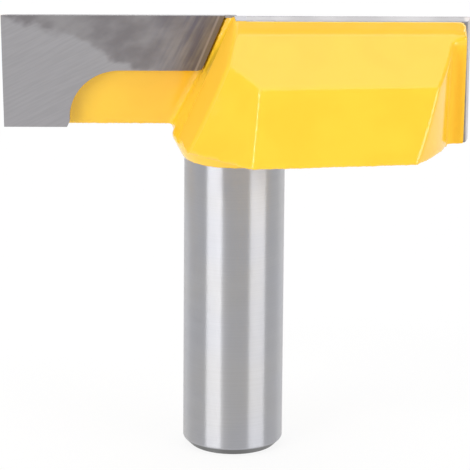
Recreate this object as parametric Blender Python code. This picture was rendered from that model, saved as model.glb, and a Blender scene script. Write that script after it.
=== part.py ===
"""Two-wing surfacing router bit: a turned and milled steel body with two brazed carbide tips.

Frame: the origin is the centre of the shank's end face, +Z runs along the shank to the cutting
end, and the two cutting edges lie along X. All sizes are in metres, all angles in radians.

Everything that belongs to one wing is modelled for the wing on +X, whose cutting face looks
toward +Y and whose back looks toward -Y. The other wing is the same, half a turn round.
"""

import math

import bmesh
import bpy
from mathutils import Matrix, Vector

# Shank and neck
SHANK_DIAMETER = 0.0127
SHANK_LENGTH = 0.03795
SHANK_CHAMFER = 0.001
NECK_STEP = 0.0001
NECK_HEIGHT = 0.00305
NECK_DIAMETER = 0.0158
COLLAR_LENGTH = 0.0003
NECK_RADIUS = 0.001
NECK_RISE = 0.0002

# Head
CUTTING_DIAMETER = 0.0588
CUTTING_LENGTH = 0.0151
WING_REACH = 0.0287
WALL_RADIUS = 0.02765
WALL_DRAFT = math.radians(2.0)
SIDE_TAPER = math.radians(0.9)

# Back of a wing, as depths behind the axis and drops below the cutting edges
LAND_RELIEF = math.radians(8.7)
FIRST_RELIEF = math.radians(15.0)
FIRST_RELIEF_DEPTH = 0.00386
SECOND_RELIEF = math.radians(24.0)
SECOND_RELIEF_DEPTH = 0.00492
RELIEF_CORNER_INSET = 0.0017
RELIEF_CORNER_WIDTH = 0.00105
RELIEF_CORNER_DEPTH = 0.0016
BACK_EDGE_DEPTH = 0.01263
BACK_EDGE_DROP = 0.0063
BACK_EDGE_TURN = math.radians(2.6)
FOOT_DEPTH = 0.01865
FOOT_TURN = math.radians(7.2)
WEB_BACK_DEPTH = 0.00543
WEB_BACK_RADIUS = 0.0008

# Facet on the inner end of a back: where its corner with the back stands, and how it turns
FACET_START = 0.00173
FACET_EDGE_LEAN = math.radians(7.2)
FACET_FOOT_TURN = math.radians(45.3)
FACET_TOP_TURN = math.radians(15.0)

# Gullet in front of a tip
FACE_LEAN = math.radians(10.1)
GULLET_START = 0.0002
GULLET_LEAN = math.radians(25.6)
GULLET_TURN = math.radians(6.4)
GULLET_RADIUS = 0.0005
SHOULDER_DEPTH = 0.0001

# Carbide tip
TIP_THICKNESS = 0.0015
BRAZE_GAP = 0.00015
END_GAP = 0.0002
ARM_HEIGHT = 0.0074
LEG_WIDTH = 0.00855
CORNER_RADIUS = 0.00635
INNER_EDGE_START = 0.00133
INNER_EDGE_LEAN = math.radians(21.4)
INNER_CORNER_RADIUS = 0.0008
SIDE_RELIEF = math.radians(12.0)
TIP_CHAMFER = 0.00035
TIP_CHAMFER_RISE = 0.0008

# Fineness
SHARP_ANGLE = math.radians(25.0)
TURNED_STEPS = 96
WALL_STEPS = 20
LOFT_STEPS = 8
FACET_STEPS = 32
ARC_STEPS = 10
CORNER_STEPS = 6

# How far cutters run past the metal
OVERRUN = 0.012

UNDERSIDE = SHANK_LENGTH + NECK_HEIGHT
TOP = UNDERSIDE + CUTTING_LENGTH
HALF_TURN = Matrix.Rotation(math.pi, 4, "Z")


def clear_scene():
    for thing in list(bpy.data.objects):
        bpy.data.objects.remove(thing)


def finish(name, color, roughness, metallic):
    """One surface finish, as a Principled material."""
    material = bpy.data.materials.new(name)
    material.use_nodes = True
    shader = material.node_tree.nodes["Principled BSDF"]
    shader.inputs["Base Color"].default_value = (*color, 1.0)
    shader.inputs["Roughness"].default_value = roughness
    shader.inputs["Metallic"].default_value = metallic
    material.diffuse_color = (*color, 1.0)
    return material


def add_object(name, mesh, placing=None):
    thing = bpy.data.objects.new(name, mesh)
    bpy.context.scene.collection.objects.link(thing)
    if placing is not None:
        thing.matrix_world = placing
    return thing


def add_cutter(name, mesh, placing=None):
    """A helper that only shapes the body."""
    cutter = add_object(name, mesh, placing)
    cutter.hide_render = True
    cutter.display_type = "WIRE"
    return cutter


def mesh_from(name, bm):
    bmesh.ops.recalc_face_normals(bm, faces=bm.faces)
    if bm.calc_volume(signed=True) < 0:
        bmesh.ops.reverse_faces(bm, faces=bm.faces)
    mesh = bpy.data.meshes.new(name)
    bm.to_mesh(mesh)
    bm.free()
    mesh.shade_smooth()
    mesh.set_sharp_from_angle(angle=SHARP_ANGLE)
    return mesh


def loft(name, sections):
    """A closed solid through sections, which are loops with the same number of points."""
    bm = bmesh.new()
    rings = [[bm.verts.new(point) for point in section] for section in sections]
    for ring, following in zip(rings, rings[1:]):
        count = len(ring)
        for i in range(count):
            j = (i + 1) % count
            bm.faces.new((ring[i], ring[j], following[j], following[i]))
    bm.faces.new(rings[0])
    bm.faces.new(rings[-1])
    return mesh_from(name, bm)


def arc(center, radius, start, end, steps):
    """Points along an arc in a plane, both ends included."""
    points = []
    for i in range(steps + 1):
        angle = start + (end - start) * i / steps
        points.append((center[0] + radius * math.cos(angle), center[1] + radius * math.sin(angle)))
    return points


def neck_profile():
    """The painted neck as (radius, height) points: a cone that rounds into the straight collar."""
    foot_radius = SHANK_DIAMETER / 2 + NECK_STEP
    collar_radius = NECK_DIAMETER / 2
    corner_height = UNDERSIDE - COLLAR_LENGTH
    cone_angle = math.atan2(collar_radius - foot_radius, corner_height - SHANK_LENGTH)
    center = (collar_radius - NECK_RADIUS, corner_height + NECK_RADIUS * math.tan(cone_angle / 2))
    rounding = arc(center, NECK_RADIUS, -cone_angle, 0.0, ARC_STEPS // 2)
    return [(foot_radius, SHANK_LENGTH), *rounding, (collar_radius, UNDERSIDE + NECK_RISE)]


def turned_mesh():
    """Shank and neck, turned about Z. Faces of the bare shank take the second finish."""
    radius = SHANK_DIAMETER / 2
    shank = [(0.0, 0.0), (radius - SHANK_CHAMFER, 0.0), (radius, SHANK_CHAMFER), (radius, SHANK_LENGTH)]
    profile = [*shank, *neck_profile(), (0.0, UNDERSIDE + NECK_RISE)]
    bm = bmesh.new()
    points = [bm.verts.new((distance, 0.0, height)) for distance, height in profile]
    edges = [bm.edges.new(pair) for pair in zip(points, points[1:])]
    bmesh.ops.spin(
        bm,
        geom=points + edges,
        cent=(0.0, 0.0, 0.0),
        axis=(0.0, 0.0, 1.0),
        angle=2 * math.pi,
        steps=TURNED_STEPS,
        use_merge=True,
    )
    bmesh.ops.remove_doubles(bm, verts=bm.verts, dist=0.000001)
    for face in bm.faces:
        face.material_index = 1 if face.calc_center_median().z < SHANK_LENGTH else 0
    return mesh_from("shank_and_neck", bm)


def face_y(height):
    """The cutting face leans back as it goes down from the cutting edge."""
    return -(TOP - height) * math.tan(FACE_LEAN)


def behind_face_y(height, distance):
    """A plane parallel to the cutting face, at a distance behind it."""
    return face_y(height) - distance / math.cos(FACE_LEAN)


def seat_y(height):
    return behind_face_y(height, TIP_THICKNESS + BRAZE_GAP)


def land_height(y):
    return TOP - abs(y) * math.tan(LAND_RELIEF)


def seat_top():
    """Where the seat meets the ground land: (y, z)."""
    slope = math.tan(LAND_RELIEF)
    y = seat_y(TOP) / (1 + slope * math.tan(FACE_LEAN))
    return y, land_height(y)


def relief_setback(x):
    """How far the edges of the second relief turn away from the cutting edge near a wing's end."""
    turn_start = WING_REACH - RELIEF_CORNER_INSET
    along = min(max((x - turn_start) / RELIEF_CORNER_WIDTH, 0.0), 1.0)
    return RELIEF_CORNER_DEPTH * (1.0 - math.sqrt(1.0 - along * along))


def back_profile(x):
    """One wing's back at a station along X, as (y, z) points from the axis down to the underside."""
    seat_depth, seat_height = seat_top()
    setback = relief_setback(x)
    first_depth = FIRST_RELIEF_DEPTH + setback
    second_depth = SECOND_RELIEF_DEPTH + setback
    first_height = seat_height - (first_depth + seat_depth) * math.tan(FIRST_RELIEF)
    second_height = first_height - (second_depth - first_depth) * math.tan(SECOND_RELIEF)
    back_edge_y = x * math.tan(BACK_EDGE_TURN) - BACK_EDGE_DEPTH
    foot_y = x * math.tan(FOOT_TURN) - FOOT_DEPTH
    return [
        (0.0, TOP),
        (seat_depth, seat_height),
        (-first_depth, first_height),
        (-second_depth, second_height),
        (back_edge_y, TOP - BACK_EDGE_DROP),
        (foot_y, UNDERSIDE),
    ]


def wing_reach(height):
    return WING_REACH - (TOP - height) * math.tan(SIDE_TAPER)


def stations():
    """Places along X for the loft: even steps, then an arc's steps round the corner of the relief."""
    turn_start = WING_REACH - RELIEF_CORNER_INSET
    even = [turn_start * i / LOFT_STEPS for i in range(1, LOFT_STEPS)]
    turned = arc((turn_start, 0.0), RELIEF_CORNER_WIDTH, math.pi / 2, 0.0, CORNER_STEPS)
    outer = [*even, *[x for x, y in turned], WING_REACH]
    return [-x for x in reversed(outer)] + [0.0] + outer


def head_mesh():
    """The head before its gullets: both backs lofted along X, between the two wing ends."""
    sections = []
    for x in stations():
        near = back_profile(x)
        far = [(-y, z) for y, z in back_profile(-x)]
        outline = near + far[:0:-1]
        sections.append([(x / WING_REACH * wing_reach(z), y, z) for y, z in outline])
    return loft("head", sections)


def wall_radius(height):
    return WALL_RADIUS - (TOP - height) * math.tan(WALL_DRAFT)


def wall_cutter_mesh():
    """Metal behind the web and outside the turned wall, cut away so that the web stands clear."""
    far = WING_REACH + OVERRUN
    sections = []
    for height in (UNDERSIDE - OVERRUN, TOP + OVERRUN):
        radius = wall_radius(height)
        start = math.asin(-WEB_BACK_DEPTH / radius)
        corner = Vector((radius * math.cos(start), -WEB_BACK_DEPTH))
        along_wall = Vector((math.sin(start), -math.cos(start)))
        fillet = round_corner(corner, Vector((1.0, 0.0)), along_wall, WEB_BACK_RADIUS)
        wall_start = math.atan2(fillet[-1].y, fillet[-1].x)
        turned = arc((0.0, 0.0), radius, wall_start, math.radians(-60.0), WALL_STEPS)[1:]
        outline = [(far, -WEB_BACK_DEPTH), *fillet, *turned, (turned[-1][0], -far), (far, -far)]
        sections.append([(x, y, height) for x, y in outline])
    return loft("wall_cutter", sections)


def gullet_x(y, height):
    return GULLET_START + (TOP - height) * math.tan(GULLET_LEAN) - y * math.tan(GULLET_TURN)


def gullet_mesh():
    """The open space in front of a tip: the seat's plane, the gullet's wall and their round corner."""
    far = WING_REACH + OVERRUN
    sections = []
    for height in (UNDERSIDE - OVERRUN, TOP + OVERRUN):
        seat = seat_y(height)
        corner = Vector((gullet_x(seat, height), seat))
        along_wall = Vector((gullet_x(far, height), far)) - corner
        outline = [*round_corner(corner, Vector((1.0, 0.0)), along_wall, GULLET_RADIUS)]
        outline += [(gullet_x(far, height), far), (far, far), (far, seat)]
        sections.append([(x, y, height) for x, y in outline])
    return loft("gullet", sections)


def shoulder_end_x(height):
    """Where the metal beside a tip's inner edge ends."""
    return INNER_EDGE_START - END_GAP + (TOP - height) * math.tan(INNER_EDGE_LEAN)


def shoulder_mesh():
    """The metal that the gullet leaves beside the tip's inner edge, flush with the cutting face."""
    sections = []
    for height in (UNDERSIDE - OVERRUN, TOP + OVERRUN):
        end = shoulder_end_x(height)
        front = behind_face_y(height, SHOULDER_DEPTH)
        start = end - OVERRUN
        back = front - OVERRUN
        outline = [(end, front), (start, front), (start, back), (end, back)]
        sections.append([(x, y, height) for x, y in outline])
    return loft("shoulder", sections)


def round_corner(corner, first, second, radius):
    """Points that round the corner between two directions, from the first to the second."""
    first = first.normalized()
    second = second.normalized()
    half = first.angle(second) / 2
    center = corner + (first + second).normalized() * (radius / math.sin(half))
    start = corner + first * (radius / math.tan(half)) - center
    end = corner + second * (radius / math.tan(half)) - center
    sweep = start.angle_signed(end)
    points = []
    for i in range(ARC_STEPS // 2 + 1):
        turn = Matrix.Rotation(-sweep * i / (ARC_STEPS // 2), 2)
        points.append(center + turn @ start)
    return points


def facet_corner(height):
    """The facet's corner with the lower back, which carries on straight to the top."""
    rise = height - UNDERSIDE
    x = FACET_START + rise * math.tan(FACET_EDGE_LEAN)
    foot = Vector((x, back_profile(x)[-1][0]))
    back_edge = Vector((x, back_profile(x)[-2][0]))
    return foot.lerp(back_edge, rise / (CUTTING_LENGTH - BACK_EDGE_DROP))


def facet_mesh():
    """The slanted facet on the inner end of a back: it turns a little as it rises."""
    sections = []
    for i in range(-1, FACET_STEPS + 2):
        share = i / FACET_STEPS
        height = UNDERSIDE + CUTTING_LENGTH * share
        turn = FACET_FOOT_TURN + (FACET_TOP_TURN - FACET_FOOT_TURN) * share
        along = Vector((math.cos(turn), -math.sin(turn))) * OVERRUN
        outward = Vector((-math.sin(turn), -math.cos(turn))) * 2 * OVERRUN
        corner = facet_corner(height)
        outline = [corner - along, corner, corner + along]
        outline += [corner + along + outward, corner - along + outward]
        sections.append([(*point, height) for point in outline])
    return loft("facet", sections)


def tip_outline():
    """The tip's face as (x, z) points: a flat arm, and a leg down the cutting side."""
    edge = CUTTING_DIAMETER / 2
    arm_bottom = TOP - ARM_HEIGHT
    leg_inside = edge - LEG_WIDTH
    lean = math.tan(INNER_EDGE_LEAN)
    center = (leg_inside - CORNER_RADIUS, arm_bottom - CORNER_RADIUS)
    inside = arc(center, CORNER_RADIUS, math.pi / 2, 0.0, ARC_STEPS)
    inner_corner = Vector((INNER_EDGE_START + ARM_HEIGHT * lean, arm_bottom))
    return [
        (edge, TOP),
        (INNER_EDGE_START, TOP),
        *round_corner(inner_corner, Vector((-lean, 1.0)), Vector((1.0, 0.0)), INNER_CORNER_RADIUS),
        *inside,
        (leg_inside, UNDERSIDE + TIP_CHAMFER_RISE),
        (leg_inside + TIP_CHAMFER, UNDERSIDE),
        (edge - CUTTING_LENGTH * math.tan(SIDE_TAPER), UNDERSIDE),
    ]


def tip_mesh():
    """The tip: its outline on the cutting face, and a back that is smaller by the two reliefs."""
    face = [(x, face_y(z), z) for x, z in tip_outline()]
    side_loss = TIP_THICKNESS * math.tan(SIDE_RELIEF)
    outer = CUTTING_DIAMETER / 2 - LEG_WIDTH / 2
    back_top_y = behind_face_y(TOP, TIP_THICKNESS) / (1 + math.tan(LAND_RELIEF) * math.tan(FACE_LEAN))
    back = []
    for x, z in tip_outline():
        back_x = x - side_loss if x > outer else x
        back_z = land_height(back_top_y) if z == TOP else z
        back.append((back_x, behind_face_y(back_z, TIP_THICKNESS), back_z))
    return loft("tip", [face, back])


def cut(body, cutter, operation):
    modifier = body.modifiers.new(cutter.name, "BOOLEAN")
    modifier.operation = operation
    modifier.solver = "EXACT"
    modifier.object = cutter


def build_body(enamel, steel):
    body = add_object("cutter_body", head_mesh())
    body.data.materials.append(enamel)
    body.data.materials.append(steel)
    wall, gullet, shoulder, facet = wall_cutter_mesh(), gullet_mesh(), shoulder_mesh(), facet_mesh()
    for side, placing in (("right", Matrix.Identity(4)), ("left", HALF_TURN)):
        cut(body, add_cutter(f"wall_{side}", wall, placing), "DIFFERENCE")
        open_space = add_cutter(f"gullet_{side}", gullet.copy(), placing)
        cut(open_space, add_cutter(f"shoulder_{side}", shoulder, placing), "DIFFERENCE")
        cut(body, open_space, "DIFFERENCE")
        cut(body, add_cutter(f"facet_{side}", facet, placing), "DIFFERENCE")
    turned = add_cutter("shank_and_neck", turned_mesh())
    turned.data.materials.append(enamel)
    turned.data.materials.append(steel)
    cut(body, turned, "UNION")
    return body


def build_tips(carbide):
    mesh = tip_mesh()
    mesh.materials.append(carbide)
    for side, placing in (("right", Matrix.Identity(4)), ("left", HALF_TURN)):
        add_object(f"carbide_tip_{side}", mesh, placing)


def main():
    clear_scene()
    enamel = finish("yellow_enamel", (0.90, 0.55, 0.05), 0.22, 0.0)
    steel = finish("ground_steel", (0.62, 0.62, 0.63), 0.28, 1.0)
    carbide = finish("carbide", (0.42, 0.40, 0.39), 0.35, 1.0)
    build_body(enamel, steel)
    build_tips(carbide)


main()
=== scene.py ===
"""Surfacing router bit: enamelled head, ground shank, brazed carbide tips, studio and camera.

Frame: the origin is the centre of the shank's end face, +Z runs up the shank to the cutting end,
and the two cutting edges lie along X. Lengths are in metres, angles in radians.
Pieces of one wing are made for the wing on +X, whose cutting face looks toward +Y. The other
wing is the same, half a turn round.
"""

import math

import bmesh
import bpy
from mathutils import Matrix, Vector


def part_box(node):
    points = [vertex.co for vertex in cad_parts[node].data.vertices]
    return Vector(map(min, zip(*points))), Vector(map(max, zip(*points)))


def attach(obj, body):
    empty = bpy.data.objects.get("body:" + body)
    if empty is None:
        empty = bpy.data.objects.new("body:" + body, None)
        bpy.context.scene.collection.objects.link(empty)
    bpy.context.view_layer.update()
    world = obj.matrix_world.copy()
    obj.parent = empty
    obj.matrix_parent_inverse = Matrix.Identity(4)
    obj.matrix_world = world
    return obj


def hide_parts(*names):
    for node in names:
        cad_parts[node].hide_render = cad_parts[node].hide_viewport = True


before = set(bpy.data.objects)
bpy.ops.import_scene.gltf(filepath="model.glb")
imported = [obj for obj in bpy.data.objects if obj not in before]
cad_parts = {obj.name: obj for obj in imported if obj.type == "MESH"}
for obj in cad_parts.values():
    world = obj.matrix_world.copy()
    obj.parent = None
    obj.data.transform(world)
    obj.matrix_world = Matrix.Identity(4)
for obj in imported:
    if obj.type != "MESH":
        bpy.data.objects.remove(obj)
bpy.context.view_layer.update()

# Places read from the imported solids
TIP_LOW, TIP_HIGH = (Vector(corner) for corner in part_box("carbide_tip_right"))
TOP = TIP_HIGH.z
UNDERSIDE = TIP_LOW.z
CUTTING_RADIUS = TIP_HIGH.x
CUTTING_LENGTH = TOP - UNDERSIDE

# Shank
SHANK_RADIUS = 0.00635
SHANK_LENGTH = 0.03795
SHANK_CHAMFER = 0.001
SHANK_HIDDEN = 0.0015
SHANK_FACETS = 256
CHAMFER_ROUND = 0.00015
CHAMFER_STEPS = 3

# Carbide tip
TIP_THICKNESS = 0.0015
BRAZE_GAP = 0.00015
SEAT_DEPTH = TIP_THICKNESS + BRAZE_GAP
FACE_LEAN = math.radians(10.1)
LAND_RELIEF = math.radians(8.7)
ARM_HEIGHT = 0.0074
LEG_WIDTH = 0.00855
CORNER_RADIUS = 0.00635
CORNER_STEPS = 40
INNER_EDGE_LEAN = math.radians(21.4)
INNER_CORNER_RADIUS = 0.0008
INNER_CORNER_STEPS = 8
SIDE_TAPER = math.radians(0.9)
SIDE_RELIEF = math.radians(12.0)
TIP_CHAMFER = 0.00035
TIP_CHAMFER_RISE = 0.0008
TIP_EDGE = 0.00003
TIP_EDGE_STEPS = 2

# Braze, and the bare land ground on the shoulder beside each tip
BRAZE_FRONT = 0.0013
BRAZE_SPREAD = 0.00005
BRAZE_TUCK = 0.00005
BRAZE_BACK = 0.00005
BRAZE_SINK = 0.00003
BRAZE_SIDE_SINK = 0.00013
GULLET_START = 0.0002
GULLET_TURN = math.radians(6.4)
LAND_DEPTH = 0.00025
LAND_PROUD = 0.00002

# Paint: its grid and smoothing, and the forms that it covers
PAINT_START = 0.00004
PAINT_VOXEL = 0.00025
PAINT_SMOOTHING = 8
PAINT_SOFTNESS = 0.5
GRID_TURN = Matrix.Rotation(math.radians(55.0), 4, Vector((1.0, 1.0, 1.0)))
COLLAR_RADIUS = 0.0079
COLLAR_LOW = 0.0004
COLLAR_HIGH = 0.002
COLLAR_WIDTH = 0.0012
COLLAR_SINK = 0.0002
COLLAR_FRONT = 0.0038
COLLAR_STEPS = 8
BACKING_TUCK = 0.0002
BACKING_INSET = 0.0008
BACKING_FRONT = 0.0009
BACKING_DEPTH = 0.0003
BACKING_SINK = 0.00004

# Where the enamel is dull, and where a deeper orange shade is painted into it
CORNER_SHADE_REACH = 0.0011
GULLET_LEAN = math.radians(25.6)
SHELTER_REACH = 0.0006
WALL_RADIUS = 0.02765
WALL_DRAFT = math.radians(2.0)
WEB_BACK_DEPTH = 0.00543
WEB_SHELTER_START = 0.0007
RELIEF_DROP = 0.002

# For every mesh
MERGE_DISTANCE = 0.000001
SHARP_ANGLE = math.radians(30.0)
HALF_TURN = Matrix.Rotation(math.pi, 4, "Z")

# Finishes. Colours are linear, and a grain's size is along X, Y and Z. A range is the part of a
# grain's values that is spread out. A border or a reach is the two distances between which a finish
# fades. A roughness is what the two ends of a spread get, and a relief is a depth and a strength.
WHITE = (1.0, 1.0, 1.0)
GRAIN_RANGE = (0.3, 0.7)

ENAMEL_LIGHT = (0.95, 0.58, 0.034)
ENAMEL_DEEP = (0.935, 0.555, 0.03)
# The colour below is painted shade: a deeper orange for the gullets and the backs of the webs, which sit in
# shade.
ENAMEL_RECESS_SHADE = (0.95, 0.53, 0.016)
# The colour below is painted shade: a still deeper orange for the corners between a gullet's wall and
# floor.
ENAMEL_CORNER_SHADE = (0.95, 0.46, 0.008)
ENAMEL_DRIFT = (0.006, 0.006, 0.006)
ENAMEL_TONE_RANGE = (0.35, 0.65)
ENAMEL_ROUGHNESS = (0.14, 0.8)
ENAMEL_PATCHES = (-0.01, 0.03)
ENAMEL_GLOSS = 0.58
ENAMEL_PEEL = (0.0009, 0.0009, 0.0009)
ENAMEL_RELIEF = (0.00001, 0.2)

STEEL_WARM = (0.487, 0.482, 0.486)
STEEL_BLUE = (0.468, 0.473, 0.505)
STEEL_LINE = (0.59, 0.59, 0.61)
# The chamfer colour below is painted shade: the dark, shaded floor that the chamfer reflects.
STEEL_CHAMFER_SHADE = (0.19, 0.19, 0.19)
STEEL_RINGS = (0.02, 0.02, 0.00012)
STEEL_RING_SHARE = 0.25
STEEL_DRIFT = (0.012, 0.012, 0.008)
STEEL_ROUGHNESS = (0.30, 0.38)
STEEL_RELIEF = (0.000004, 0.3)
QUARTER_TURN = 0.25

CARBIDE_LIGHT = (0.40, 0.39, 0.405)
CARBIDE_MARK = (0.37, 0.362, 0.375)
# The cloud and brown colours below are in part painted reflection: the shaded floor in front, darker high
# on the face and towards the inner end.
CARBIDE_CLOUD_SHADE = (0.325, 0.313, 0.32)
CARBIDE_BROWN_SHADE = (0.225, 0.212, 0.222)
CARBIDE_STREAK = (0.135, 0.135, 0.19)
# The bevel and line colours below are painted shade and a painted highlight, for a bevel along the inner
# edge that the mesh doesn't have.
CARBIDE_BEVEL_SHADE = (0.22, 0.205, 0.215)
CARBIDE_LINE_HIGHLIGHT = (0.36, 0.355, 0.42)
CARBIDE_LAND = (0.41, 0.40, 0.405)
CARBIDE_SIDE = (0.62, 0.58, 0.56)
CARBIDE_ROUGHNESS = (0.46, 0.38)
CARBIDE_RELIEF = (0.00001, 0.15)
MARK_SIZE = (0.005, 1.0, 0.00028)
MARK_SLOPE = math.radians(28.0)
MARK_RANGE = (0.32, 0.68)
CLOUD_SIZE = (0.0055, 1.0, 0.0034)
CLOUD_RANGE = (0.32, 0.7)
CLOUD_START = 0.0128
CLOUD_SLOPE = 0.46
CLOUD_WANDER_RANGE = (0.2, 0.8)
CLOUD_WANDER = 0.0012
CLOUD_FADE = 0.0006
STREAK_SIZE = (0.009, 1.0, 0.0006)
STREAK_SLOPE = math.radians(64.0)
STREAK_RANGE = (0.35, 0.68)
STREAK_SHARES = (0.25, 0.85)
STREAK_REACH = (0.004, 0.0125)
BEVEL_BORDER = (0.00055, 0.0007)
BEVEL_SHARE = 0.9
LINE_BORDER = (0.0008, 0.001)
LINE_SHARE = 0.8
FACE_BORDER = (0.0001, 0.00025)
SIDE_BORDER = (CUTTING_RADIUS - 0.001, CUTTING_RADIUS - 0.0006)

BRAZE_LIGHT = (0.42, 0.415, 0.435)
BRAZE_DARK = (0.34, 0.335, 0.355)
BRAZE_SCRATCHES = (0.004, 0.00015, 0.002)
BRAZE_ROUGHNESS = (0.34, 0.44)
BRAZE_RELIEF = (0.000005, 0.3)

# The photograph's view
PHOTO_SIDE = 470
FOCAL_PIXELS = 4000
SENSOR_WIDTH = 36.0
CAMERA_DISTANCE = 0.508
CAMERA_ELEVATION = math.radians(16.0)
CAMERA_AZIMUTH = math.radians(-1.2)
CAMERA_ROLL = 0.008
CAMERA_NEAREST = 0.01
CAMERA_FARTHEST = 20.0
AIM_HEIGHT = 0.0276
AIM_PIXELS_RIGHT = 1.0

# Studio
BOX_DISTANCE = 0.6
BOX_AIM_HEIGHT = 0.04
FLOOR_HALF = 3.0
FLOOR_COLOR = (0.93, 0.93, 0.93)
FLOOR_GLOW = 0.88
ROOM_COLOR = (0.39, 0.39, 0.40)

# Each lamp's name, azimuth and elevation in degrees, width, height and brightness. Azimuth 0 is the
# camera's side and 90 is +X, and a brightness of 1 looks white in a mirror.
LAMPS = (
    ("left_box", -47.0, 12.0, 0.39, 0.25, 5.3),
    ("right_box", 55.0, 12.0, 0.42, 0.25, 4.15),
    ("top_box", 0.0, 88.0, 0.6, 0.6, 1.3),
    ("back_box", 180.0, 29.0, 1.2, 0.2, 2.4),
    ("edge_strip", -35.0, 47.0, 0.13, 0.07, 13.0),
    ("back_strip", 180.0, 73.0, 0.9, 0.03, 1.0),
)


def add_object(name, data):
    thing = bpy.data.objects.new(name, data)
    bpy.context.scene.collection.objects.link(thing)
    return thing


def mesh_from(name, bm):
    """The closed mesh that was built, with its faces pointing outwards."""
    bmesh.ops.recalc_face_normals(bm, faces=bm.faces)
    if bm.calc_volume(signed=True) < 0:
        bmesh.ops.reverse_faces(bm, faces=bm.faces)
    mesh = bpy.data.meshes.new(name)
    bm.to_mesh(mesh)
    bm.free()
    return mesh


def applied(thing):
    """The object with its modifiers turned into its mesh."""
    graph = bpy.context.evaluated_depsgraph_get()
    mesh = bpy.data.meshes.new_from_object(thing.evaluated_get(graph))
    thing.modifiers.clear()
    thing.data = mesh
    return thing


def rounded(thing, width, steps):
    """The object with its sharp edges rounded."""
    bevel = thing.modifiers.new("edges", "BEVEL")
    bevel.width = width
    bevel.segments = steps
    bevel.limit_method = "ANGLE"
    bevel.angle_limit = SHARP_ANGLE
    bevel.harden_normals = True
    return applied(thing)


def place(thing, material, slot, *replaced):
    thing.data.materials.clear()
    thing.data.materials.append(material)
    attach(thing, "root")
    if replaced:
        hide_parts(*replaced)


def painted_head():
    """The head and neck above the bare shank, with the soft edges that the enamel gives them.
    The grid that rounds them is turned, so that no edge runs nearly along it and comes out wavy."""
    bm = bmesh.new()
    bm.from_mesh(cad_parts["cutter_body"].data)
    bmesh.ops.remove_doubles(bm, verts=bm.verts, dist=MERGE_DISTANCE)
    everything = bm.verts[:] + bm.edges[:] + bm.faces[:]
    plane = Vector((0.0, 0.0, SHANK_LENGTH + PAINT_START))
    cut = bmesh.ops.bisect_plane(bm, geom=everything, plane_co=plane, plane_no=(0, 0, 1), clear_inner=True)
    rim = [part for part in cut["geom_cut"] if isinstance(part, bmesh.types.BMEdge)]
    bmesh.ops.holes_fill(bm, edges=rim)
    for turn in (Matrix.Identity(4), HALF_TURN):
        add_collar(bm, turn)
        add_backing(bm, turn)
    head = add_object("painted_head", mesh_from("painted_head", bm))
    head.data.transform(GRID_TURN)
    remesh = head.modifiers.new("remesh", "REMESH")
    remesh.mode = "VOXEL"
    remesh.voxel_size = PAINT_VOXEL
    remesh.use_smooth_shade = True
    smooth = head.modifiers.new("smooth", "SMOOTH")
    smooth.factor = PAINT_SOFTNESS
    smooth.iterations = PAINT_SMOOTHING
    applied(head)
    head.data.transform(GRID_TURN.inverted())
    for name, measure in (("dull_and_shaded", shelter), ("corner_shaded", corner_shade)):
        attribute = head.data.attributes.new(name, "FLOAT", "POINT")
        attribute.data.foreach_set("value", [measure(vertex.co) for vertex in head.data.vertices])
    return head


def add_collar(bm, turn):
    """The ramp of metal and paint from a gullet's wall out to the collar's rim, from the web's foot
    round to the neck's front."""
    rim = [(COLLAR_RADIUS, behind_face_y(UNDERSIDE, SEAT_DEPTH))]
    for i in range(COLLAR_STEPS + 1):
        y = COLLAR_FRONT * i / COLLAR_STEPS
        rim.append((math.sqrt(COLLAR_RADIUS ** 2 - y ** 2), y))
    corners = []
    for x, y in rim:
        wall = gullet_wall_x(CUTTING_LENGTH - COLLAR_HIGH, y)
        for corner in (
            Vector((x, y, UNDERSIDE - COLLAR_LOW)),
            Vector((x - COLLAR_WIDTH, y, UNDERSIDE - COLLAR_LOW)),
            Vector((min(x, wall) - COLLAR_SINK, y, UNDERSIDE + COLLAR_HIGH)),
        ):
            corners.append(bm.verts.new(turn @ corner))
    bmesh.ops.convex_hull(bm, input=corners)


def add_backing(bm, turn):
    """A plate inside the tip, so that the enamel is still flat where it comes out from behind the seam
    and is rounded only where the tip hides it."""
    outline = [(min(x, CUTTING_RADIUS - BACKING_INSET), z) for x, z in tip_outline(-BACKING_TUCK)]
    front = behind(BACKING_FRONT, BACKING_SINK)
    back = behind(SEAT_DEPTH + BACKING_DEPTH, BACKING_SINK)
    bm.from_mesh(plate("backing", turn, outline, outline, front, back))


def gullet_wall_x(drop, y):
    """The x of a gullet's wall, which leans out as it goes down and in as it comes forward."""
    return GULLET_START + drop * math.tan(GULLET_LEAN) - y * math.tan(GULLET_TURN)


def on_its_wing(point):
    """How far a point lies below the top, and its x and y, turned round for a point of the -X wing."""
    side = 1.0 if point.y > face_y(point.z) else -1.0
    return TOP - point.z, side * point.x, side * point.y


def shelter(point):
    """1 in the gullets and behind the webs, where the enamel is duller and painted shade makes it a deeper
    orange, and 0 on the backs.
    """
    drop, x, y = on_its_wing(point)
    floor = behind_face_y(point.z, SEAT_DEPTH)
    in_gullet = min(x - gullet_wall_x(drop, y) + SHELTER_REACH, y - floor + SHELTER_REACH)
    wall_radius = WALL_RADIUS - drop * math.tan(WALL_DRAFT)
    web_corner = math.sqrt(wall_radius ** 2 - WEB_BACK_DEPTH ** 2)
    behind_web = min(abs(point.x) - web_corner + WEB_SHELTER_START, drop - RELIEF_DROP)
    return min(max(max(in_gullet, behind_web) / SHELTER_REACH, 0.0), 1.0)


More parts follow.
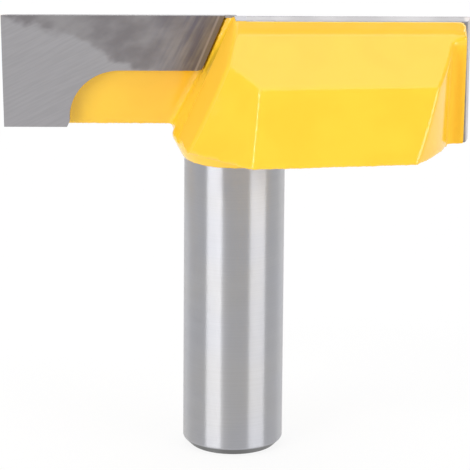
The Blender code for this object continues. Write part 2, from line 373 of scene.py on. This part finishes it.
def corner_shade(point):
    """1 in the corner between a gullet's wall and its floor, where a still deeper orange is painted as
    shade.
    """
    drop, x, y = on_its_wing(point)
    from_wall = x - gullet_wall_x(drop, y)
    from_floor = y - behind_face_y(point.z, SEAT_DEPTH)
    if drop > CUTTING_LENGTH + COLLAR_LOW or from_floor < -CORNER_SHADE_REACH:
        return 0.0
    return min(max(1.0 - max(from_wall, from_floor) / CORNER_SHADE_REACH, 0.0), 1.0)


def geometry_tree(name, sizes):
    """An empty geometry tree with a named input for each size, and its input and output nodes."""
    tree = bpy.data.node_groups.new(name, "GeometryNodeTree")
    for label, kind in sizes.items():
        tree.interface.new_socket(label, in_out="INPUT", socket_type=kind)
    tree.interface.new_socket("Geometry", in_out="OUTPUT", socket_type="NodeSocketGeometry")
    return tree, tree.nodes.new("NodeGroupInput"), tree.nodes.new("NodeGroupOutput")


def shank_tree():
    """A round bar that stands on its chamfered end: an end disc, a cone, a side and a top disc."""
    tree, sizes, result = geometry_tree("shank_bar", {
        "Radius": "NodeSocketFloat",
        "Length": "NodeSocketFloat",
        "Chamfer": "NodeSocketFloat",
        "Facets": "NodeSocketInt",
        "Merge Distance": "NodeSocketFloat",
        "Finish": "NodeSocketMaterial",
    })
    nodes, links = tree.nodes, tree.links
    radius, length, chamfer = (sizes.outputs[label] for label in ("Radius", "Length", "Chamfer"))
    end_radius = calculated(nodes, links, "SUBTRACT", radius, chamfer)
    side_length = calculated(nodes, links, "SUBTRACT", length, chamfer)
    half_side = calculated(nodes, links, "MULTIPLY", side_length, 0.5)
    side_middle = calculated(nodes, links, "ADD", half_side, chamfer)

    def round_part(kind, fill, measures):
        node = nodes.new(kind)
        node.fill_type = fill
        links.new(sizes.outputs["Facets"], node.inputs["Vertices"])
        for label, measure in measures.items():
            links.new(measure, node.inputs[label])
        return node.outputs["Mesh"]

    def lifted(geometry, height):
        offset = nodes.new("ShaderNodeCombineXYZ")
        links.new(height, offset.inputs["Z"])
        move = nodes.new("GeometryNodeTransform")
        links.new(geometry, move.inputs["Geometry"])
        links.new(offset.outputs[0], move.inputs["Translation"])
        return move.outputs["Geometry"]

    cone_sizes = {"Radius Top": radius, "Radius Bottom": end_radius, "Depth": chamfer}
    cone = round_part("GeometryNodeMeshCone", "NONE", cone_sizes)
    side = round_part("GeometryNodeMeshCylinder", "NONE", {"Radius": radius, "Depth": side_length})
    end_disc = round_part("GeometryNodeMeshCircle", "NGON", {"Radius": end_radius})
    top_disc = round_part("GeometryNodeMeshCircle", "NGON", {"Radius": radius})
    whole = nodes.new("GeometryNodeJoinGeometry")
    for part in (end_disc, cone, lifted(side, side_middle), lifted(top_disc, length)):
        links.new(part, whole.inputs[0])
    merge = nodes.new("GeometryNodeMergeByDistance")
    links.new(whole.outputs[0], merge.inputs["Geometry"])
    links.new(sizes.outputs["Merge Distance"], merge.inputs["Distance"])
    real = nodes.new("GeometryNodeRealizeInstances")
    links.new(merge.outputs[0], real.inputs["Geometry"])
    coat = nodes.new("GeometryNodeSetMaterial")
    links.new(real.outputs[0], coat.inputs["Geometry"])
    links.new(sizes.outputs["Finish"], coat.inputs["Material"])
    links.new(coat.outputs[0], result.inputs[0])
    return tree


def grown(thing, tree, values):
    """The object with the mesh that a geometry tree grows from the values."""
    modifier = thing.modifiers.new(tree.name, "NODES")
    modifier.node_group = tree
    for socket in tree.interface.items_tree:
        if socket.in_out == "INPUT":
            modifier[socket.identifier] = values[socket.name]
    return applied(thing)


def ground_shank(steel):
    """The bare shank, which runs a little way up into the painted neck."""
    shank = grown(add_object("ground_shank", bpy.data.meshes.new("ground_shank")), shank_tree(), {
        "Radius": SHANK_RADIUS,
        "Length": SHANK_LENGTH + SHANK_HIDDEN,
        "Chamfer": SHANK_CHAMFER,
        "Facets": SHANK_FACETS,
        "Merge Distance": MERGE_DISTANCE,
        "Finish": steel,
    })
    bm = bmesh.new()
    bm.from_mesh(shank.data)
    shank.data = mesh_from("ground_shank", bm)
    shank.data.shade_smooth()
    return rounded(shank, CHAMFER_ROUND, CHAMFER_STEPS)


def face_y(height):
    """The cutting face leans back as it goes down from the cutting edge."""
    return -(TOP - height) * math.tan(FACE_LEAN)


def behind_face_y(height, distance):
    return face_y(height) - distance / math.cos(FACE_LEAN)


def corner_arc(corner, first, second, radius, steps):
    """Points that round the corner between two directions, from the first to the second."""
    first, second = Vector(first).normalized(), Vector(second).normalized()
    half = first.angle(second) / 2
    center = Vector(corner) + (first + second).normalized() * (radius / math.sin(half))
    start = Vector(corner) + first * (radius / math.tan(half)) - center
    end = Vector(corner) + second * (radius / math.tan(half)) - center
    sweep = start.angle_signed(end)
    return [tuple(center + Matrix.Rotation(-sweep * i / steps, 2) @ start) for i in range(steps + 1)]


def tip_outline(spread=0.0):
    """The tip's face as (x, z) points: a flat arm, and a leg down the cutting side. The spread widens
    it on the edges that are brazed, not on the ones that are ground to cut."""
    arm_bottom = TOP - ARM_HEIGHT - spread
    leg_inside = CUTTING_RADIUS - LEG_WIDTH - spread
    lean = math.tan(INNER_EDGE_LEAN)
    inner_top = TIP_LOW.x - spread
    inner_corner = (inner_top + ARM_HEIGHT * lean, arm_bottom)
    return [
        (CUTTING_RADIUS, TOP),
        (inner_top, TOP),
        *corner_arc(inner_corner, (-lean, 1.0), (1.0, 0.0), INNER_CORNER_RADIUS, INNER_CORNER_STEPS),
        *corner_arc((leg_inside, arm_bottom), (-1.0, 0.0), (0.0, -1.0), CORNER_RADIUS, CORNER_STEPS),
        (leg_inside, UNDERSIDE + TIP_CHAMFER_RISE),
        (leg_inside + TIP_CHAMFER, UNDERSIDE),
        (CUTTING_RADIUS - CUTTING_LENGTH * math.tan(SIDE_TAPER), UNDERSIDE),
    ]


def plate(name, turn, front_outline, back_outline, front, back):
    """A plate between two outlines of as many points, each placed in space by its own function, and
    then turned to its wing."""
    bm = bmesh.new()
    near = [bm.verts.new(front(x, z)) for x, z in front_outline]
    far = [bm.verts.new(back(x, z)) for x, z in back_outline]
    count = len(near)
    for i in range(count):
        j = (i + 1) % count
        bm.faces.new((near[i], near[j], far[j], far[i]))
    bm.faces.new(near)
    bm.faces.new(far)
    mesh = mesh_from(name, bm)
    mesh.transform(turn)
    return mesh


def ground_height(y):
    """The land's height, ground down from the cutting edge."""
    return TOP - abs(y) * math.tan(LAND_RELIEF)


def behind(distance, sink=0.0, side_sink=0.0):
    """Places an outline's points in a plane behind the face, on the ground land and the ground side,
    or sunk below them."""
    land_y = behind_face_y(TOP, distance) / (1 + math.tan(LAND_RELIEF) * math.tan(FACE_LEAN))
    side_loss = distance * math.tan(SIDE_RELIEF)

    def at(x, z):
        height = ground_height(land_y) - sink if z == TOP else z
        inward = side_loss + side_sink if x > CUTTING_RADIUS - LEG_WIDTH / 2 else 0.0
        return Vector((x - inward, behind_face_y(height, distance), height))

    return at


def smooth_sided(name, mesh):
    """An object whose rounded sides are shaded smooth and whose sharp edges stay sharp."""
    mesh.shade_smooth()
    mesh.set_sharp_from_angle(angle=SHARP_ANGLE)
    return add_object(name, mesh)


def carbide_tip(side, turn):
    name = f"carbide_{side}"
    mesh = plate(name, turn, tip_outline(), tip_outline(), behind(0.0), behind(TIP_THICKNESS))
    return rounded(smooth_sided(name, mesh), TIP_EDGE, TIP_EDGE_STEPS)


def braze_seam(side, turn):
    """The silver seam behind a tip: under the paint's edge on the ground sides, a small fillet on
    the others."""
    name = f"braze_seam_{side}"
    front = tip_outline(-BRAZE_TUCK)
    back = tip_outline(BRAZE_SPREAD)
    behind_seat = behind(SEAT_DEPTH + BRAZE_BACK, BRAZE_SINK, BRAZE_SIDE_SINK)
    return smooth_sided(name, plate(name, turn, front, back, behind(BRAZE_FRONT), behind_seat))


def ground_land(side, turn):
    """The bare land on the shoulder, from the other wing's gullet over the braze to a tip's inner end."""
    name = f"ground_land_{side}"
    seat_y = behind_face_y(TOP, SEAT_DEPTH)
    outline = [
        (-GULLET_START, 0.0),
        (TIP_LOW.x, 0.0),
        (TIP_LOW.x, seat_y),
        (-GULLET_START - seat_y * math.tan(GULLET_TURN), seat_y),
    ]

    def above(x, y):
        return Vector((x, y, ground_height(y) + LAND_PROUD))

    def below(x, y):
        return Vector((x, y, ground_height(y) - LAND_DEPTH))

    return add_object(name, plate(name, turn, outline, outline, above, below))


def shader_tree(name):
    material = bpy.data.materials.new(name)
    material.use_nodes = True
    nodes = material.node_tree.nodes
    return material, nodes, material.node_tree.links, nodes["Principled BSDF"]


def own_place(nodes):
    return nodes.new("ShaderNodeTexCoord").outputs["Object"]


def own_value(nodes, name):
    """A value that the mesh holds at each of its points."""
    attribute = nodes.new("ShaderNodeAttribute")
    attribute.attribute_name = name
    return attribute.outputs["Fac"]


def calculated(nodes, links, operation, *values):
    """One sum on its values, each a socket or a number."""
    node = nodes.new("ShaderNodeMath")
    node.operation = operation
    for socket, value in zip(node.inputs, values):
        if isinstance(value, bpy.types.NodeSocket):
            links.new(value, socket)
        else:
            socket.default_value = value
    return node.outputs[0]


def grain(nodes, links, place_at, size, turn=0.0, detail=2.0):
    """Noise whose grains have the given size along X, Y and Z after a turn about Y."""
    mapping = nodes.new("ShaderNodeMapping")
    mapping.vector_type = "TEXTURE"
    mapping.inputs["Rotation"].default_value = (0.0, turn, 0.0)
    mapping.inputs["Scale"].default_value = size
    noise = nodes.new("ShaderNodeTexNoise")
    noise.inputs["Scale"].default_value = 1.0
    noise.inputs["Detail"].default_value = detail
    links.new(place_at, mapping.inputs["Vector"])
    links.new(mapping.outputs["Vector"], noise.inputs["Vector"])
    return noise.outputs["Fac"]


def spread_out(nodes, links, value, taken, given=(0.0, 1.0)):
    """The taken range of a value, spread smoothly over the given range."""
    node = nodes.new("ShaderNodeMapRange")
    node.interpolation_type = "SMOOTHSTEP"
    links.new(value, node.inputs["Value"])
    for label, number in zip(("From Min", "From Max", "To Min", "To Max"), (*taken, *given)):
        node.inputs[label].default_value = number
    return node.outputs["Result"]


def blended(nodes, links, share, first, second):
    """Two colours mixed by a share. Each is a socket or a colour."""
    node = nodes.new("ShaderNodeMix")
    node.data_type = "RGBA"
    links.new(share, node.inputs["Factor"])
    for socket, color in ((node.inputs[6], first), (node.inputs[7], second)):
        if isinstance(color, bpy.types.NodeSocket):
            links.new(color, socket)
        else:
            socket.default_value = (*color, 1.0)
    return node.outputs[2]


def relief(nodes, links, shader, height, depth, strength):
    bump = nodes.new("ShaderNodeBump")
    bump.inputs["Strength"].default_value = strength
    bump.inputs["Distance"].default_value = depth
    links.new(height, bump.inputs["Height"])
    links.new(bump.outputs["Normal"], shader.inputs["Normal"])


def enamel():
    """Thick glossy yellow enamel: a faint orange peel and tones that drift, duller in the gullets, with
    painted shade there and deeper painted shade in their corners."""
    material, nodes, links, shader = shader_tree("yellow_enamel")
    place_at = own_place(nodes)
    dull_and_shaded = own_value(nodes, "dull_and_shaded")
    drift = grain(nodes, links, place_at, ENAMEL_DRIFT)
    share = spread_out(nodes, links, drift, ENAMEL_TONE_RANGE)
    tone = blended(nodes, links, share, ENAMEL_DEEP, ENAMEL_LIGHT)
    # Painted shade: a deeper orange in the gullets and behind the webs.
    tone = blended(nodes, links, dull_and_shaded, tone, ENAMEL_RECESS_SHADE)
    # Painted shade: a still deeper orange in the corners between a gullet's wall and floor.
    tone = blended(nodes, links, own_value(nodes, "corner_shaded"), tone, ENAMEL_CORNER_SHADE)
    links.new(tone, shader.inputs["Base Color"])
    dullness = spread_out(nodes, links, dull_and_shaded, (0.0, 1.0), ENAMEL_ROUGHNESS)
    patches = spread_out(nodes, links, drift, GRAIN_RANGE, ENAMEL_PATCHES)
    links.new(calculated(nodes, links, "ADD", dullness, patches), shader.inputs["Roughness"])
    shader.inputs["Specular IOR Level"].default_value = ENAMEL_GLOSS
    peel = grain(nodes, links, place_at, ENAMEL_PEEL, detail=1.0)
    relief(nodes, links, shader, peel, *ENAMEL_RELIEF)
    return material


def bare_steel():
    """Cylindrically ground steel: fine rings round the shank, a bluish cast that drifts, and a chamfer
    and end painted dark, a painted reflection of the shaded floor beneath them."""
    material, nodes, links, shader = shader_tree("ground_steel")
    place_at = own_place(nodes)
    rings = grain(nodes, links, place_at, STEEL_RINGS, detail=4.0)
    drift = grain(nodes, links, place_at, STEEL_DRIFT)
    share = spread_out(nodes, links, drift, GRAIN_RANGE)
    cast = blended(nodes, links, share, STEEL_WARM, STEEL_BLUE)
    share = spread_out(nodes, links, rings, GRAIN_RANGE, (0.0, STEEL_RING_SHARE))
    bright = blended(nodes, links, share, cast, STEEL_LINE)
    apart = nodes.new("ShaderNodeSeparateXYZ")
    links.new(place_at, apart.inputs[0])
    height = apart.outputs["Z"]
    # Painted shade: the chamfer and end are darkened for the shaded floor under them that they reflect.
    above_chamfer = spread_out(nodes, links, height, (SHANK_CHAMFER - CHAMFER_ROUND, SHANK_CHAMFER))
    links.new(blended(nodes, links, above_chamfer, STEEL_CHAMFER_SHADE, bright), shader.inputs["Base Color"])
    shader.inputs["Metallic"].default_value = 1.0
    links.new(spread_out(nodes, links, rings, GRAIN_RANGE, STEEL_ROUGHNESS), shader.inputs["Roughness"])
    shader.inputs["Anisotropic"].default_value = 1.0
    shader.inputs["Anisotropic Rotation"].default_value = QUARTER_TURN
    around = nodes.new("ShaderNodeTangent")
    around.direction_type = "RADIAL"
    around.axis = "Z"
    links.new(around.outputs[0], shader.inputs["Tangent"])
    relief(nodes, links, shader, rings, *STEEL_RELIEF)
    return material


def carbide():
    """Diamond-ground tungsten carbide: light slanting wheel marks low on the face; above and towards the
    inner end, a cloudy darker brown that is in part a painted reflection of the shaded floor in front;
    steep streaks at the inner end; and along the inner edge a painted dark band and pale highlight
    line that stand for a bevel. The ground land and side are lighter."""
    material, nodes, links, shader = shader_tree("carbide")
    apart = nodes.new("ShaderNodeSeparateXYZ")
    links.new(own_place(nodes), apart.inputs[0])
    reach = calculated(nodes, links, "ABSOLUTE", apart.outputs["X"])
    drop = calculated(nodes, links, "SUBTRACT", TOP, apart.outputs["Z"])
    flat = nodes.new("ShaderNodeCombineXYZ")
    links.new(reach, flat.inputs["X"])
    links.new(drop, flat.inputs["Z"])
    on_face = flat.outputs[0]

    marks = grain(nodes, links, on_face, MARK_SIZE, turn=-MARK_SLOPE, detail=3.0)
    clouds = grain(nodes, links, on_face, CLOUD_SIZE, turn=-MARK_SLOPE, detail=3.5)
    streaks = grain(nodes, links, on_face, STREAK_SIZE, turn=-STREAK_SLOPE)

    share = spread_out(nodes, links, marks, MARK_RANGE)
    low_face = blended(nodes, links, share, CARBIDE_MARK, CARBIDE_LIGHT)
    # In part painted reflection: the clouded brown high on the face and towards the inner end darkens it as
    # the shaded floor in front would.
    share = spread_out(nodes, links, clouds, CLOUD_RANGE)
    clouded_shaded_face = blended(nodes, links, share, CARBIDE_BROWN_SHADE, CARBIDE_CLOUD_SHADE)
    slanted = calculated(nodes, links, "MULTIPLY_ADD", reach, CLOUD_SLOPE, -CLOUD_START)
    below_clouds = calculated(nodes, links, "ADD", drop, slanted)
    wander = spread_out(nodes, links, clouds, CLOUD_WANDER_RANGE, (-CLOUD_WANDER, CLOUD_WANDER))
    below_clouds = calculated(nodes, links, "ADD", below_clouds, wander)
    share = spread_out(nodes, links, below_clouds, (-CLOUD_FADE, CLOUD_FADE))
    face = blended(nodes, links, share, clouded_shaded_face, low_face)

    near_end = spread_out(nodes, links, reach, STREAK_REACH, (1.0, 0.0))
    streaks = spread_out(nodes, links, streaks, STREAK_RANGE, STREAK_SHARES)
    streaks = calculated(nodes, links, "MULTIPLY", near_end, streaks)
    face = blended(nodes, links, streaks, face, CARBIDE_STREAK)

    # Painted shade and highlight: a dark band along the inner edge and a pale line beside it stand for a
    # bevel that the mesh doesn't have.
    inner_edge = calculated(nodes, links, "MULTIPLY_ADD", drop, -math.tan(INNER_EDGE_LEAN), -TIP_LOW.x)
    from_edge = calculated(nodes, links, "ADD", reach, inner_edge)
    bevel_shade = spread_out(nodes, links, from_edge, BEVEL_BORDER, (BEVEL_SHARE, 0.0))
    face = blended(nodes, links, bevel_shade, face, CARBIDE_BEVEL_SHADE)
    rise = spread_out(nodes, links, from_edge, BEVEL_BORDER)
    fall = spread_out(nodes, links, from_edge, LINE_BORDER, (LINE_SHARE, 0.0))
    face = blended(nodes, links, calculated(nodes, links, "MULTIPLY", rise, fall), face, CARBIDE_LINE_HIGHLIGHT)

    wing = calculated(nodes, links, "SIGN", apart.outputs["X"])
    forward = calculated(nodes, links, "MULTIPLY", wing, apart.outputs["Y"])
    backward = calculated(nodes, links, "MULTIPLY", forward, -1.0)
    behind_face = calculated(nodes, links, "MULTIPLY_ADD", drop, -math.tan(FACE_LEAN), backward)
    off_face = spread_out(nodes, links, behind_face, FACE_BORDER)
    on_side = spread_out(nodes, links, reach, SIDE_BORDER)
    ground = blended(nodes, links, on_side, CARBIDE_LAND, CARBIDE_SIDE)
    links.new(blended(nodes, links, off_face, face, ground), shader.inputs["Base Color"])
    shader.inputs["Metallic"].default_value = 1.0
    links.new(spread_out(nodes, links, clouds, GRAIN_RANGE, CARBIDE_ROUGHNESS), shader.inputs["Roughness"])
    relief(nodes, links, shader, marks, *CARBIDE_RELIEF)
    return material


def braze():
    """Silver braze and bare steel, ground flush with the carbide along the cutting edges."""
    material, nodes, links, shader = shader_tree("braze")
    scratches = grain(nodes, links, own_place(nodes), BRAZE_SCRATCHES, detail=3.0)
    share = spread_out(nodes, links, scratches, GRAIN_RANGE)
    links.new(blended(nodes, links, share, BRAZE_DARK, BRAZE_LIGHT), shader.inputs["Base Color"])
    shader.inputs["Metallic"].default_value = 1.0
    links.new(spread_out(nodes, links, scratches, GRAIN_RANGE, BRAZE_ROUGHNESS), shader.inputs["Roughness"])
    relief(nodes, links, shader, scratches, *BRAZE_RELIEF)
    return material


def camera():
    """The photograph's camera: the bit's axis stands a pixel left of the middle of the picture."""
    data = bpy.data.cameras.new("camera")
    data.sensor_width = SENSOR_WIDTH
    data.lens = FOCAL_PIXELS * SENSOR_WIDTH / PHOTO_SIDE
    data.clip_start = CAMERA_NEAREST
    data.clip_end = CAMERA_FARTHEST
    eye = add_object("camera", data)
    backward = Vector((
        math.sin(CAMERA_AZIMUTH) * math.cos(CAMERA_ELEVATION),
        -math.cos(CAMERA_AZIMUTH) * math.cos(CAMERA_ELEVATION),
        math.sin(CAMERA_ELEVATION),
    ))
    turn = backward.to_track_quat("Z", "Y").to_matrix()
    right = turn.col[0]
    aim = Vector((0, 0, AIM_HEIGHT)) + right * (AIM_PIXELS_RIGHT * CAMERA_DISTANCE / FOCAL_PIXELS)
    turn = turn @ Matrix.Rotation(CAMERA_ROLL, 3, "Z")
    eye.matrix_world = Matrix.Translation(aim + backward * CAMERA_DISTANCE) @ turn.to_4x4()
    bpy.context.scene.camera = eye


def soft_box(name, azimuth, elevation, width, height, brightness):
    """A flat lamp that faces the head."""
    data = bpy.data.lights.new(name, "AREA")
    data.shape = "RECTANGLE"
    data.size = width
    data.size_y = height
    data.energy = brightness * math.pi * width * height
    lamp = add_object(name, data)
    lamp.visible_camera = False
    turn, rise = math.radians(azimuth), math.radians(elevation)
    direction = Vector((math.sin(turn) * math.cos(rise), -math.cos(turn) * math.cos(rise), math.sin(rise)))
    place_at = Vector((0, 0, BOX_AIM_HEIGHT)) + direction * BOX_DISTANCE
    facing = direction.to_track_quat("Z", "Y").to_matrix()
    lamp.matrix_world = Matrix.Translation(place_at) @ facing.to_4x4()


def mixed(nodes, links, share, first, second, result):
    """Two shaders mixed by a share on the result's surface."""
    mix = nodes.new("ShaderNodeMixShader")
    for socket, source in zip(mix.inputs, (share, first.outputs[0], second.outputs[0])):
        links.new(source, socket)
    links.new(mix.outputs[0], result.inputs["Surface"])


def white_floor():
    """A wide white floor, so bright to the eye that it melts into the background."""
    bm = bmesh.new()
    bmesh.ops.create_grid(bm, x_segments=1, y_segments=1, size=FLOOR_HALF)
    mesh = bpy.data.meshes.new("floor")
    bm.to_mesh(mesh)
    bm.free()
    floor = add_object("floor", mesh)
    material, nodes, links, shader = shader_tree("white_floor")
    shader.inputs["Base Color"].default_value = (*FLOOR_COLOR, 1.0)
    shader.inputs["Roughness"].default_value = 1.0
    shader.inputs["Specular IOR Level"].default_value = 0.0
    glow = nodes.new("ShaderNodeEmission")
    glow.inputs["Color"].default_value = (*WHITE, 1.0)
    glow.inputs["Strength"].default_value = 1.0
    rays = nodes.new("ShaderNodeLightPath").outputs
    seen = calculated(nodes, links, "MAXIMUM", rays["Is Camera Ray"], rays["Is Glossy Ray"])
    share = calculated(nodes, links, "MULTIPLY", seen, FLOOR_GLOW)
    mixed(nodes, links, share, shader, glow, nodes["Material Output"])
    floor.data.materials.append(material)


def studio():
    """A pale grey room that the camera sees as white, and its lamps."""
    world = bpy.data.worlds.new("studio")
    bpy.context.scene.world = world
    world.use_nodes = True
    nodes, links = world.node_tree.nodes, world.node_tree.links
    room = nodes["Background"]
    room.inputs["Color"].default_value = (*ROOM_COLOR, 1.0)
    room.inputs["Strength"].default_value = 1.0
    backdrop = nodes.new("ShaderNodeBackground")
    backdrop.inputs["Color"].default_value = (*WHITE, 1.0)
    rays = nodes.new("ShaderNodeLightPath").outputs
    mixed(nodes, links, rays["Is Camera Ray"], room, backdrop, nodes["World Output"])
    for lamp in LAMPS:
        soft_box(*lamp)


def main():
    coat, steel, hard_metal, silver = enamel(), bare_steel(), carbide(), braze()
    place(painted_head(), coat, "yellow_enamel", "cutter_body")
    place(ground_shank(steel), steel, "ground_steel", "cutter_body")
    for side, turn in (("right", Matrix.Identity(4)), ("left", HALF_TURN)):
        place(carbide_tip(side, turn), hard_metal, "carbide", f"carbide_tip_{side}")
        place(braze_seam(side, turn), silver, "braze")
        place(ground_land(side, turn), silver, "braze")
    white_floor()
    studio()
    camera()
    bpy.context.scene.view_settings.view_transform = "Standard"


main()
